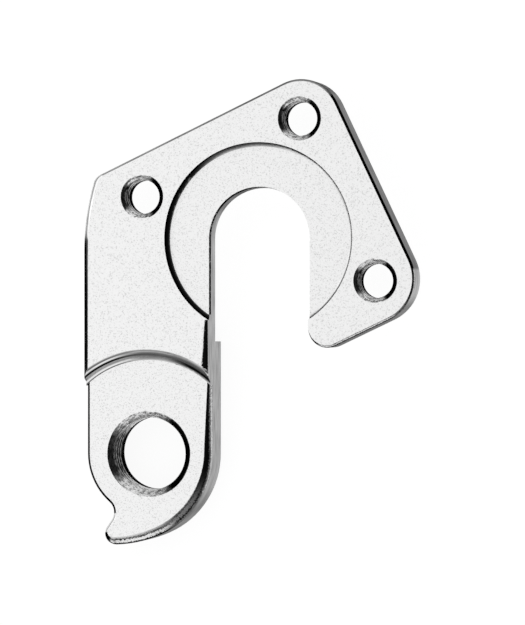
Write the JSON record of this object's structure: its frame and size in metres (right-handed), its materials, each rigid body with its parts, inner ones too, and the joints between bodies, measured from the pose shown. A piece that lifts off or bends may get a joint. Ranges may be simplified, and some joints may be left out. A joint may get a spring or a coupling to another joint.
{
  "type": "bicycle derailleur hanger",
  "caption": "Bolt-on bicycle derailleur hanger: a flat plate around an open axle slot, with a leg that ends in a threaded derailleur mount and a stop tab.",
  "frame": {"origin": "wheel axle's centre, on the plate's inboard face", "axes": "+Z outboard along the axle, +Y up along the axle slot, +X towards the slot's free arm"},
  "size_m": [0.0416, 0.0574, 0.0075],
  "materials": {
    "aluminium": "satin"
  },
  "bodies": {
    "root": {"hanger": "aluminium"}
  },
  "joints": []
}
